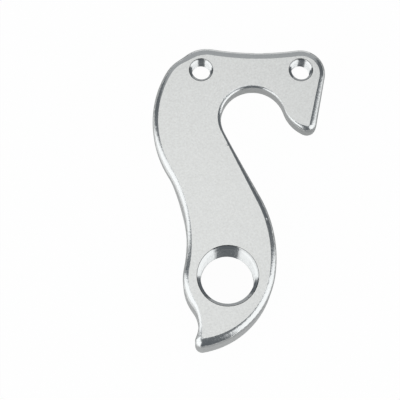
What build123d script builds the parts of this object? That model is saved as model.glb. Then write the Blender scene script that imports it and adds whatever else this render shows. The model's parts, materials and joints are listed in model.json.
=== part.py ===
from build123d import *
import os
from math import acos, atan2, cos, degrees, hypot, radians, sin, sqrt, tan

# Bicycle derailleur hanger, one machined aluminium plate, all sizes in millimetres.
# It lies on its back with the front face up. The origin is on the axis of the derailleur
# thread at the back face, +Y runs up the shank towards the wheel axle, +Z is the front.

# Thickness of the derailleur boss and of the plate above it, which is recessed at the back
boss_thickness = 7.35
plate_thickness = 2.95
ramp_x = -8.0
ramp_y = 12.5
ramp_lean = 25
ramp_angle = 45
ramp_rounding = 1.5
back_edge = 0.25

# Slot for the wheel axle and the claw that closes it
axle_x = 4.55
axle_y = 27.45
slot_radius = 5.6
claw_angle = 17.9
claw_tip_reach = 9.34
claw_tip_drop = 0.66
claw_tip_radius = 1.6

# Head round the two frame screws above the axle, with a shallow dip between them
screw_rise = 8.9
left_screw_reach = 9.0
right_screw_reach = 8.35
left_head_inset = 0.95
left_head_drop = 1.6
left_head_radius = 5.8
right_head_drop = 0.35
right_head_radius = 4.29
dip_radius = 47.5

# Left side, from the head down to the waist
corner_radius = 6.55
corner_angle = 151
rim_reach = 17.37
rim_drop = 0.2
rim_radius = 18.1
waist_radius = 23.2

# Foot round the derailleur thread, with the pointed stop for the derailleur below it
lobe_x = 0.55
lobe_y = -0.3
lobe_radius = 8.05
notch_radius = 4.95
stop_x = -4.25
stop_y = -10.75
stop_radius = 1.2
keel_radius = 14.55
shank_right = 8.2
shank_y = 3.45
shank_radius = 21.7

# Rounding of the front edge: its height, which is less round the slot and greater at the tip of the
# claw, the share of a full quarter round that the milled face leaves, how far it reaches in at each
# bend, and for the bends that lie elsewhere at the face, their radius there and how their centres shift
edge_height = 1.0
slot_edge_height = 0.35
claw_tip_edge_height = 1.1
milled_share = 0.985
edge_width = 1.0
slot_edge = 0.28
slot_shift_x = -0.27
slot_shift_y = 0.22
left_head_edge = 1.4
right_head_edge = 1.09
dip_edge = 0.5
corner_edge = 1.5
waist_edge = 2.6
lobe_edge = 0.95
notch_edge = 6.0
keel_edge = 1.7
stop_face_radius = 0.4
stop_shift_x = 0.33
stop_shift_y = 0.72
claw_tip_face_radius = 0.35
claw_tip_shift_x = -0.05
claw_tip_shift_y = -0.38
right_head_shift_x = 0.08
right_head_shift_y = -0.28
edge_steps = 10

# Derailleur thread M10 x 1 and its lead-in, bored to the inner diameter
thread_bore = 9.1
thread_mouth = 10.4
thread_mouth_depth = 0.5
thread_back_edge = 0.15

# Frame screw threads M4 x 0.7, bored to the inner diameter
screw_bore = 3.25
screw_mouth = 4.24
screw_mouth_depth = 0.3
screw_back_edge = 0.25

# Places that follow the axle
axle_at = (axle_x, axle_y)
claw_tip_at = (axle_x + claw_tip_reach, axle_y - claw_tip_drop)
screw_y = axle_y + screw_rise
left_screw_x = axle_x - left_screw_reach
right_screw_x = axle_x + right_screw_reach
left_head_at = (left_screw_x + left_head_inset, screw_y - left_head_drop)
right_head_at = (right_screw_x, screw_y - right_head_drop)
rim_at = (axle_x - rim_reach + rim_radius, axle_y - rim_drop)

# Places of the other bends
lobe_at = (lobe_x, lobe_y)
stop_at = (stop_x, stop_y)
shank_at = (shank_right - shank_radius, shank_y)


def polar(centre, reach, angle):
    """Point at a distance and an angle in degrees from a centre."""
    return (centre[0] + reach * cos(radians(angle)), centre[1] + reach * sin(radians(angle)))


def meeting(centre_a, reach_a, centre_b, reach_b, side):
    """Point at set distances from two centres, on the left (1) or the right (-1) of the way from a to b."""
    run_x = centre_b[0] - centre_a[0]
    run_y = centre_b[1] - centre_a[1]
    gap = hypot(run_x, run_y)
    along = (reach_a ** 2 - reach_b ** 2 + gap ** 2) / (2 * gap)
    aside = side * sqrt(reach_a ** 2 - along ** 2)
    return (
        centre_a[0] + (along * run_x - aside * run_y) / gap,
        centre_a[1] + (along * run_y + aside * run_x) / gap,
    )


def taken_off(width, height, depth):
    """How far an edge rounding of this width and height reaches in at a depth below the front face.

    It is part of a quarter ellipse, with its crown milled off, so it meets the face at a slight angle."""
    share = milled_share * max(0, 1 - depth / height)
    return width * (1 - sqrt(1 - share ** 2)) / (1 - sqrt(1 - milled_share ** 2))


def shifted(place, shift_x, shift_y, height, depth):
    """Place of a bend's centre at a depth, which shifts fully at the front face."""
    return (
        place[0] + taken_off(shift_x, height, depth),
        place[1] + taken_off(shift_y, height, depth),
    )


def claw_bend(slot_at, slot, tip_at, tip):
    """Centre and radius of the claw, which leaves the slot at its angle and runs into its round tip."""
    leaving = polar(slot_at, slot, claw_angle)
    run_x = leaving[0] - tip_at[0]
    run_y = leaving[1] - tip_at[1]
    along = run_x * cos(radians(claw_angle)) + run_y * sin(radians(claw_angle))
    radius = (run_x ** 2 + run_y ** 2 - tip ** 2) / (-2 * (tip + along))
    return polar(slot_at, slot + radius, claw_angle), radius


def bends(depth):
    """Bends of the outline at a depth below the front face, anticlockwise from the left of the head.

    Each bend has a centre and a radius, which is negative where the outline is hollow."""
    left_head = left_head_radius - taken_off(left_head_edge, edge_height, depth)
    right_head = right_head_radius - taken_off(right_head_edge, edge_height, depth)
    dip = dip_radius + taken_off(dip_edge, edge_height, depth)
    corner = corner_radius - taken_off(corner_edge, edge_height, depth)
    rim = rim_radius - taken_off(edge_width, edge_height, depth)
    waist = waist_radius + taken_off(waist_edge, edge_height, depth)
    lobe = lobe_radius - taken_off(lobe_edge, edge_height, depth)
    notch = notch_radius + taken_off(notch_edge, edge_height, depth)
    stop = stop_radius - taken_off(stop_radius - stop_face_radius, edge_height, depth)
    keel = keel_radius - taken_off(keel_edge, edge_height, depth)
    shank = shank_radius - taken_off(edge_width, edge_height, depth)
    slot = slot_radius + taken_off(slot_edge, slot_edge_height, depth)
    claw_tip_edge = claw_tip_radius - claw_tip_face_radius
    claw_tip = claw_tip_radius - taken_off(claw_tip_edge, claw_tip_edge_height, depth)

    stop_here = shifted(stop_at, stop_shift_x, stop_shift_y, edge_height, depth)
    slot_here = shifted(axle_at, slot_shift_x, slot_shift_y, slot_edge_height, depth)
    claw_tip_here = shifted(claw_tip_at, claw_tip_shift_x, claw_tip_shift_y, claw_tip_edge_height, depth)
    right_head_here = shifted(right_head_at, right_head_shift_x, right_head_shift_y, edge_height, depth)
    return [
        (left_head_at, left_head),
        (polar(rim_at, rim - corner, corner_angle), corner),
        (rim_at, rim),
        (meeting(lobe_at, lobe + waist, rim_at, rim + waist, 1), -waist),
        (lobe_at, lobe),
        (meeting(lobe_at, lobe + notch, stop_here, stop + notch, -1), -notch),
        (stop_here, stop),
        (meeting(shank_at, shank - keel, stop_here, keel - stop, 1), keel),
        (shank_at, shank),
        (slot_here, -slot),
        claw_bend(slot_here, slot, claw_tip_here, claw_tip),
        (claw_tip_here, claw_tip),
        (right_head_here, right_head),
        (meeting(right_head_here, right_head + dip, left_head_at, left_head + dip, -1), -dip),
    ]


def handover(bend, following):
    """Angle in degrees at which the outline leaves one bend for the next, at a touch or along a line."""
    (x, y), radius = bend
    (next_x, next_y), next_radius = following
    gap = hypot(next_x - x, next_y - y)
    swing = acos(round((radius - next_radius) / gap, 9))
    return degrees(atan2(next_y - y, next_x - x) - swing)


def outline(depth):
    """Face inside the outline at a depth below the front face, set at its height."""
    chain = bends(depth)
    angles = [handover(chain[i], chain[(i + 1) % len(chain)]) for i in range(len(chain))]
    edges = []
    for i, (centre, radius) in enumerate(chain):
        start = angles[i - 1]
        turn = (angles[i] - start) % 360
        if radius < 0:
            turn = turn - 360
        first, middle, last = [polar(centre, radius, start + turn * part) for part in (0, 0.5, 1)]
        edges.append(ThreePointArc(first, middle, last))
        next_centre, next_radius = chain[(i + 1) % len(chain)]
        next_first = polar(next_centre, next_radius, angles[i])
        if hypot(next_first[0] - last[0], next_first[1] - last[1]) > 0.01:
            edges.append(Line(last, next_first))
    return Pos(0, 0, boss_thickness - depth) * Face(Wire(edges))


def hole(x, y, back, bore, mouth, mouth_depth, back_break):
    """Bore from a back face at a height to the front face, with its lead-in and the broken back edge."""
    upward = (Align.CENTER, Align.CENTER, Align.MIN)
    length = boss_thickness - back
    drill = Cylinder(bore / 2, length, align=upward)
    lead_in = Pos(0, 0, length - mouth_depth) * Cone(bore / 2, mouth / 2, mouth_depth, align=upward)
    broken = Cone(bore / 2 + back_break, bore / 2, back_break, align=upward)
    return Pos(x, y, back) * (drill + lead_in + broken)


# Plate with straight walls up to the rounding of the front edge
rounding_height = max(edge_height, claw_tip_edge_height)
plate = extrude(outline(rounding_height), amount=-(boss_thickness - rounding_height))

# Recess at the back of the head and claw, which ends in a ramp square across the shank
recess_depth = boss_thickness - plate_thickness
ramp_rise = tan(radians(ramp_angle))
ramp_across = Vector(1, 0, 0).rotate(Axis.Z, ramp_lean)
ramp_along = Vector(0, 1, 0).rotate(Axis.Z, ramp_lean)
ramp_plane = Plane(origin=(ramp_x, ramp_y, 0), x_dir=ramp_along, z_dir=ramp_across)
recess_reach = 2 * axle_y
recess_corners = [
    (-boss_thickness / ramp_rise, -boss_thickness),
    (recess_depth / ramp_rise, recess_depth),
    (recess_reach, recess_depth),
    (recess_reach, -boss_thickness),
]
recess_section = ramp_plane * make_face(Polyline(*recess_corners, close=True))
recess = extrude(recess_section, amount=recess_reach, both=True)
claw_recess = Box(recess_reach, recess_reach, recess_depth, align=(Align.MIN, Align.MIN, Align.MIN))
plate = plate - (recess + Pos(axle_x, axle_y - slot_radius, 0) * claw_recess)
ramp_edges = plate.edges().filter_by(Axis((0, 0, 0), ramp_across)).filter_by(GeomType.LINE)
plate = fillet(ramp_edges, ramp_rounding)

# Broken edge all round the back
back_edges = [
    edge
    for edge in plate.edges()
    if edge.center().Z < recess_depth + back_edge
    and abs(edge.tangent_at(0.5).Z) < 0.9
    and abs(edge.tangent_at(0.5).dot(ramp_across)) < 0.9999
]
plate = chamfer(back_edges, back_edge)

# Rounding of the front edge, in steps that close up towards the face
step_angles = [90 * step / edge_steps for step in range(edge_steps + 1)]
rounding = loft([outline(rounding_height * (1 - sin(radians(angle)))) for angle in step_angles])
hanger = plate + rounding

# Threaded holes
hanger = hanger - hole(0, 0, 0, thread_bore, thread_mouth, thread_mouth_depth, thread_back_edge)
for screw_x in (left_screw_x, right_screw_x):
    hanger = hanger - hole(
        screw_x, screw_y, recess_depth, screw_bore, screw_mouth, screw_mouth_depth, screw_back_edge
    )

os.makedirs("parts", exist_ok=True)
export_step(hanger, "parts/hanger.step")
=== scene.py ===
import bmesh
import bpy
import json
from collections import namedtuple
from math import asin, cos, degrees, pi, radians, sin, tan
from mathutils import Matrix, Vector


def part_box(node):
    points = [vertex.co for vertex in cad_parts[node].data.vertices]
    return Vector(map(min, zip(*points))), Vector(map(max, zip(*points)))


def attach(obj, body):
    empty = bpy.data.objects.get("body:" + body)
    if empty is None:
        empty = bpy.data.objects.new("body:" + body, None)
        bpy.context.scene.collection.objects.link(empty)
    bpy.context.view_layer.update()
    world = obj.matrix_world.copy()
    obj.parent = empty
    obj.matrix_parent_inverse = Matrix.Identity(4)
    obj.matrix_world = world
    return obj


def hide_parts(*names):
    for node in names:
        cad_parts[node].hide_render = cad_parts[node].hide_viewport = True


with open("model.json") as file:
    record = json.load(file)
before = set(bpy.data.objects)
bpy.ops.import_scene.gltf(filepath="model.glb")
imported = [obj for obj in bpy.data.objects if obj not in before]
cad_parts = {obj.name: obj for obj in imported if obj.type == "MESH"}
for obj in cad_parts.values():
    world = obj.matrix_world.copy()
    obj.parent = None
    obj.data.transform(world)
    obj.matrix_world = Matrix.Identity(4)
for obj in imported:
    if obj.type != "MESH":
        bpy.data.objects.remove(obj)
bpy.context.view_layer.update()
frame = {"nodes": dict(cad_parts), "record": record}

# Lengths are in millimetres and angles in degrees; the studio round the object is in metres
MM = 0.001

# Threads: outer radius, pitch and radius of the mouth of each size
derailleur_outer = 5.0
derailleur_pitch = 1.0
derailleur_mouth = 5.2
screw_outer = 2.0
screw_pitch = 0.7
screw_mouth = 2.12

# Thread section: its flank, and in pitches its crest, its reach into the bore and its run past the ends
thread_flank = 30
thread_crest = 1 / 8
reach_into_bore = 0.1
run_past_ends = 2
steps_a_turn = 48

# Nicks along the edge of the shank: place, direction, length and width
nicks = [
    (0.06, 22.72, 118, 0.45, 0.26),
    (6.62, 9.6, 112, 0.55, 0.3),
]

# Corners closer than this are one, in the CAD form and after the cuts
cad_weld = 0.001
cut_weld = 0.0002

# Tints of the metal, on the flat faces and elsewhere
face_tone = (0.996, 1, 0.974)
edge_tone = (0.982, 1, 0.995)

# Grain of the metal: its levels of detail, and the share by which it varies the roughness
grain_detail = 3
gloss_spread = 0.2

# Painted shade: a thin dark ring painted on the outer edge of the holes' mouths, its width and grey
painted_rim_shade_width = 0.1
painted_rim_shade_grey = 0.16

# Slope below which the rounding has the darker finish of the walls, and how that changes with the side it
# faces: it reaches higher on the front and the rear corners as painted shade, and less high on the front
# left as painted light
wall_slope = 37
lower_left_painted_light_drop = 56
rear_corner_painted_shade_rise = 80
front_painted_shade_rise = 10

# Least height of a level face's normal, reach of a hole's faces past its thread, and angle of a sharp edge
level_normal = 0.99999
hole_margin = 0.3
crease_angle = 28

# Order of the finishes: level faces, rounded edge, walls partly darkened by painted shade, threads and
# their crests darkened by painted shade
face_number, edge_number, wall_number, thread_number, crest_number = range(5)

# Floor: its side, its grey, and the share of it that is plain white to the camera and in the metal
floor_size = 6
floor_grey = 0.95
floor_white = 0.975

# Light of the room round the object
room_colour = (0.14, 0.153, 0.166, 1)

# Camera: the point of the front face it looks at, its distance, height angle, lens and range in metres
look_x = -4.632
look_y = 12.948
camera_distance = 196
camera_height = 75.5
sensor_width = 36
lens = 104.49
nearest_seen = 0.01
farthest_seen = 20

high_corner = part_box("hanger")[1]
front_height = high_corner.z / MM
mounts = {mount["name"]: mount for mount in frame["record"]["mounts"]}
Hole = namedtuple("Hole", "x y bore outer pitch mouth")


def find_holes():
    """The threaded holes, with their places and bores from the record."""
    derailleur = mounts["derailleur_thread"]
    x, y = [metres / MM for metres in derailleur["pos_m"][:2]]
    bore = derailleur["dims"]["r_mm"]
    found = [Hole(x, y, bore, derailleur_outer, derailleur_pitch, derailleur_mouth)]
    screws = mounts["frame_screws"]
    middle, y = [metres / MM for metres in screws["pos_m"][:2]]
    bore = screws["dims"]["hole_r_mm"]
    half_spacing = screws["dims"]["spacing_x_mm"] / 2
    for x in (middle - half_spacing, middle + half_spacing):
        found.append(Hole(x, y, bore, screw_outer, screw_pitch, screw_mouth))
    return found


holes = find_holes()


def new_object(name, mesh):
    """Links a mesh into the scene as an object."""
    made = bpy.data.objects.new(name, mesh)
    bpy.context.scene.collection.objects.link(made)
    return made


def keep(shape, mesh):
    """Writes an edited shape to a mesh and closes it."""
    shape.to_mesh(mesh)
    shape.free()


def new_mesh(name, shape):
    """Turns an edited shape into a new mesh."""
    mesh = bpy.data.meshes.new(name)
    keep(shape, mesh)
    return mesh


def welded(mesh, distance):
    """Opens a mesh for editing, with the corners that are closer than a distance joined."""
    shape = bmesh.new()
    shape.from_mesh(mesh)
    bmesh.ops.remove_doubles(shape, verts=shape.verts, dist=distance * MM)
    return shape


def thread_cutter(hole):
    """Coil with the section of a thread groove, standing out of both ends of a bore."""
    inner = hole.bore - reach_into_bore * hole.pitch
    spread = tan(radians(thread_flank))
    mouth_half = hole.pitch * (1 - thread_crest) / 2
    inner_half = mouth_half + (hole.bore - inner) * spread
    root_half = mouth_half - (hole.outer - hole.bore) * spread
    section = [(inner, -inner_half), (hole.outer, -root_half), (hole.outer, root_half), (inner, inner_half)]
    bottom = -run_past_ends * hole.pitch
    turns = (front_height + run_past_ends * hole.pitch - bottom) / hole.pitch
    shape = bmesh.new()
    rings = []
    for step in range(int(turns * steps_a_turn) + 1):
        angle = 2 * pi * step / steps_a_turn
        rise = bottom + hole.pitch * step / steps_a_turn
        places = [(hole.x + r * cos(angle), hole.y + r * sin(angle), rise + z) for r, z in section]
        rings.append([shape.verts.new(Vector(place) * MM) for place in places])
    corners = len(section)
    for ring, following in zip(rings, rings[1:]):
        for i in range(corners):
            j = (i + 1) % corners
            shape.faces.new((ring[i], following[i], following[j], ring[j]))
    shape.faces.new(rings[0])
    shape.faces.new(rings[-1][::-1])
    bmesh.ops.recalc_face_normals(shape, faces=shape.faces)
    return new_object("thread_cutter", new_mesh("thread_cutter", shape))


def nick_cutter(x, y, direction, length, width):
    """Small egg, long in one direction, that dents the front face."""
    shape = bmesh.new()
    bmesh.ops.create_icosphere(shape, subdivisions=2, radius=1)
    bmesh.ops.scale(shape, vec=Vector((length / 2, width / 2, width / 2)) * MM, verts=shape.verts)
    cutter = new_object("nick_cutter", new_mesh("nick_cutter", shape))
    cutter.location = Vector((x, y, front_height)) * MM
    cutter.rotation_euler.z = radians(direction)
    return cutter


def cut(piece, cutters):
    """Takes the cutters out of a piece, and deletes them."""
    for cutter in cutters:
        difference = piece.modifiers.new("cut", "BOOLEAN")
        difference.operation = "DIFFERENCE"
        difference.solver = "EXACT"
        difference.object = cutter
    bpy.context.view_layer.update()
    whole = piece.evaluated_get(bpy.context.evaluated_depsgraph_get())
    mesh = bpy.data.meshes.new_from_object(whole)
    piece.modifiers.clear()
    piece.data = mesh
    for cutter in cutters:
        bpy.data.objects.remove(cutter)


def metal(name, tone, dark, light, grazing, roughness, grain_size, grain_depth):
    """Bare aluminium: two greys mixed by a fine grain, which also varies its gloss and its relief."""
    material = bpy.data.materials.new(name)
    material.use_nodes = True
    nodes = material.node_tree.nodes
    links = material.node_tree.links
    shader = nodes["Principled BSDF"]
    shader.inputs["Metallic"].default_value = 1
    shader.inputs["Specular Tint"].default_value = (grazing, grazing, grazing, 1)
    place = nodes.new("ShaderNodeTexCoord")
    grain = nodes.new("ShaderNodeTexNoise")
    grain.inputs["Scale"].default_value = 1 / (grain_size * MM)
    grain.inputs["Detail"].default_value = grain_detail
    links.new(place.outputs["Object"], grain.inputs["Vector"])
    colour = nodes.new("ShaderNodeMix")
    colour.data_type = "RGBA"
    colour.inputs["A"].default_value = [dark * part for part in tone] + [1]
    colour.inputs["B"].default_value = [light * part for part in tone] + [1]
    links.new(grain.outputs["Fac"], colour.inputs["Factor"])
    links.new(colour.outputs["Result"], shader.inputs["Base Color"])
    gloss = nodes.new("ShaderNodeMapRange")
    gloss.inputs["To Min"].default_value = roughness * (1 - gloss_spread)
    gloss.inputs["To Max"].default_value = roughness * (1 + gloss_spread)
    links.new(grain.outputs["Fac"], gloss.inputs["Value"])
    links.new(gloss.outputs["Result"], shader.inputs["Roughness"])
    relief = nodes.new("ShaderNodeBump")
    relief.inputs["Distance"].default_value = grain_depth * MM
    relief.inputs["Strength"].default_value = 1
    links.new(grain.outputs["Fac"], relief.inputs["Height"])
    links.new(relief.outputs["Normal"], shader.inputs["Normal"])
    return material


def paint_rim_shade(material):
    """Paints shade on the holes' mouths: a thin dark ring on their outer edge."""
    nodes = material.node_tree.nodes
    links = material.node_tree.links
    level = nodes.new("ShaderNodeVectorMath")
    level.operation = "MULTIPLY"
    level.inputs[1].default_value = (1, 1, 0)
    links.new(nodes["Texture Coordinate"].outputs["Object"], level.inputs[0])
    colour = nodes["Principled BSDF"].inputs["Base Color"]
    for hole in holes:
        reach = nodes.new("ShaderNodeVectorMath")
        reach.operation = "DISTANCE"
        reach.inputs[1].default_value = Vector((hole.x, hole.y, 0)) * MM
        links.new(level.outputs[0], reach.inputs[0])
        shade_ring = nodes.new("ShaderNodeMath")
        shade_ring.operation = "COMPARE"
        shade_ring.inputs[1].default_value = hole.mouth * MM
        shade_ring.inputs[2].default_value = painted_rim_shade_width * MM
        links.new(reach.outputs["Value"], shade_ring.inputs[0])
        darker = nodes.new("ShaderNodeMix")
        darker.data_type = "RGBA"
        darker.inputs["B"].default_value = (painted_rim_shade_grey, painted_rim_shade_grey, painted_rim_shade_grey, 1)
        links.new(shade_ring.outputs[0], darker.inputs["Factor"])
        links.new(colour.links[0].from_socket, darker.inputs["A"])
        links.new(darker.outputs["Result"], colour)


def wall_limit(normal):
    """Slope below which a face has the darker finish of the walls, by the side that it faces: painted shade
    on the front and rear corners, less of it on the front left.
    """
    to_left = max(0, -normal.x)
    to_front = max(0, -normal.y)
    to_rear = max(0, normal.y)
    limit = wall_slope + rear_corner_painted_shade_rise * abs(normal.x) * to_rear
    limit += front_painted_shade_rise * (1 - abs(normal.x)) * to_front
    limit -= lower_left_painted_light_drop * to_left * to_front
    return limit


def in_hole(place):
    """Whether a place is in one of the holes."""
    return any((place.xy - Vector((hole.x, hole.y))).length < hole.outer + hole_margin for hole in holes)


def finish_of(face):
    """Number of a face's finish, from its slope and from whether it is in a hole."""
    if abs(face.normal.z) > level_normal:
        return face_number
    slope = degrees(asin(max(-1, min(1, face.normal.z))))
    steep = slope < wall_limit(face.normal)
    if in_hole(face.calc_center_median() / MM):
        return crest_number if steep else thread_number
    return wall_number if steep else edge_number


def dress(piece):
    """Gives each face its finish, and keeps the level faces and the creases sharp."""
    shape = welded(piece.data, cut_weld)
    shape.normal_update()
    for face in shape.faces:
        face.material_index = finish_of(face)
        face.smooth = face.material_index != face_number
    for edge in shape.edges:
        sides = edge.link_faces
        if len(sides) == 2:
            level_side = any(side.material_index == face_number for side in sides)
            sharp = edge.calc_face_angle(0) > radians(crease_angle)
            edge.smooth = not (level_side or sharp)
    keep(shape, piece.data)


def paper():
    """White to the camera and in the metal, apart from a small share that takes the object's shadow."""
    material = bpy.data.materials.new("paper")
    material.use_nodes = True
    nodes = material.node_tree.nodes
    links = material.node_tree.links
    shader = nodes["Principled BSDF"]
    shader.inputs["Base Color"].default_value = (floor_grey, floor_grey, floor_grey, 1)
    shader.inputs["Roughness"].default_value = 1
    shader.inputs["Specular IOR Level"].default_value = 0
    white = nodes.new("ShaderNodeEmission")
    ray = nodes.new("ShaderNodeLightPath")
    camera_or_glossy = nodes.new("ShaderNodeMath")
    camera_or_glossy.operation = "MAXIMUM"
    any_seen = nodes.new("ShaderNodeMath")
    any_seen.operation = "MAXIMUM"
    share = nodes.new("ShaderNodeMath")
    share.operation = "MULTIPLY"
    share.inputs[1].default_value = floor_white
    mix = nodes.new("ShaderNodeMixShader")
    links.new(ray.outputs["Is Camera Ray"], camera_or_glossy.inputs[0])
    links.new(ray.outputs["Is Glossy Ray"], camera_or_glossy.inputs[1])
    links.new(camera_or_glossy.outputs[0], any_seen.inputs[0])
    links.new(ray.outputs["Is Transmission Ray"], any_seen.inputs[1])
    links.new(any_seen.outputs[0], share.inputs[0])
    links.new(share.outputs[0], mix.inputs["Fac"])
    links.new(shader.outputs[0], mix.inputs[1])
    links.new(white.outputs[0], mix.inputs[2])
    links.new(mix.outputs[0], nodes["Material Output"].inputs["Surface"])
    return material


def lamp(name, place, away, width, height, radiance, turn=0):
    """Flat lamp of even brightness, whose back points away from what it lights."""
    light = bpy.data.lights.new(name, "AREA")
    light.shape = "RECTANGLE"
    light.size = width
    light.size_y = height
    light.energy = radiance * pi * width * height
    holder = bpy.data.objects.new(name, light)
    bpy.context.scene.collection.objects.link(holder)
    holder.location = place
    holder.rotation_euler = away.to_track_quat("Z", "Y").to_euler()
    holder.rotation_euler.z += radians(turn)
    holder.visible_camera = False


def softbox(name, azimuth, distance, low, high, width, radiance):
    """Upright lamp round the object, from one height to another; azimuth 0 is +X and 90 is +Y."""
    away = Vector((cos(radians(azimuth)), sin(radians(azimuth)), 0))
    lamp(name, away * distance + Vector((0, 0, (low + high) / 2)), away, width, high - low, radiance)


# Hanger: the CAD form with its edge nicked and its threads cut
hanger = new_object("hanger_metal", frame["nodes"]["hanger"].data.copy())
keep(welded(hanger.data, cad_weld), hanger.data)
cut(hanger, [nick_cutter(*nick) for nick in nicks] + [thread_cutter(hole) for hole in holes])

# Finishes, in their order: satin faces, glossier rounded edge, machined walls partly darkened by painted
# shade, threads, and their crests darkened by painted shade
finishes = [
    metal("satin_face", face_tone, dark=0.6, light=1, grazing=0.6,
          roughness=0.4, grain_size=0.3, grain_depth=0.016),
    metal("rounded_edge", edge_tone, dark=0.66, light=0.76, grazing=0.8,
          roughness=0.19, grain_size=0.35, grain_depth=0.014),
    # Walls: a rougher machined finish whose darker grey is partly the metal's own tone and partly painted
    # shade for the object's shadow on the floor that they mirror
    metal("machined_wall_painted_shade", edge_tone, dark=0.5, light=0.56, grazing=0.65,
          roughness=0.8, grain_size=0.4, grain_depth=0.002),
    metal("cut_thread", edge_tone, dark=0.65, light=0.7, grazing=0.8,
          roughness=0.17, grain_size=0.4, grain_depth=0.001),
    # Crests and steep faces in the holes: a dark grey that is painted shade in the holes
    metal("thread_crest", edge_tone, dark=0.32, light=0.38, grazing=0.65,
          roughness=0.4, grain_size=0.4, grain_depth=0.001),
]
# Painted shade: a thin dark ring on the mouths of the threaded holes
paint_rim_shade(finishes[thread_number])
hanger.data.materials.clear()
for finish in finishes:
    hanger.data.materials.append(finish)
dress(hanger)
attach(hanger, "root")
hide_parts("hanger")

# Floor
bpy.ops.mesh.primitive_plane_add(size=floor_size)
floor = bpy.context.object
floor.name = "floor"
floor.data.materials.append(paper())

# Studio: softboxes to the left and right of the camera, one overhead and a weak one behind, in a grey room
softbox("softbox_right", azimuth=-20.5, distance=0.6, low=0.02, high=1.22, width=0.79, radiance=1.2)
softbox("softbox_left", azimuth=184.6, distance=0.6, low=0.02, high=1.4, width=0.436, radiance=1.24)
softbox("softbox_left_low", azimuth=225, distance=0.6, low=0, high=1.05, width=0.44, radiance=1.26)
softbox("softbox_behind", azimuth=95, distance=0.8, low=0, high=1.3, width=1.3, radiance=0.31)
lamp("softbox_above", place=Vector((-0.027, 0.17, 0.7)), away=Vector((0, 0, 1)),
     width=0.49, height=0.5, radiance=1.07, turn=12)
room = bpy.data.worlds.new("room")
bpy.context.scene.world = room
room.use_nodes = True
room.node_tree.nodes["Background"].inputs["Color"].default_value = room_colour

# Camera
camera = bpy.data.objects.new("camera", bpy.data.cameras.new("camera"))
bpy.context.scene.collection.objects.link(camera)
camera.data.sensor_width = sensor_width
camera.data.lens = lens
camera.data.clip_start = nearest_seen
camera.data.clip_end = farthest_seen
back_off = Vector((0, -cos(radians(camera_height)), sin(radians(camera_height))))
camera.location = (Vector((look_x, look_y, front_height)) + back_off * camera_distance) * MM
camera.rotation_euler = (radians(90 - camera_height), 0, 0)
bpy.context.scene.camera = camera
bpy.context.scene.view_settings.view_transform = "Standard"
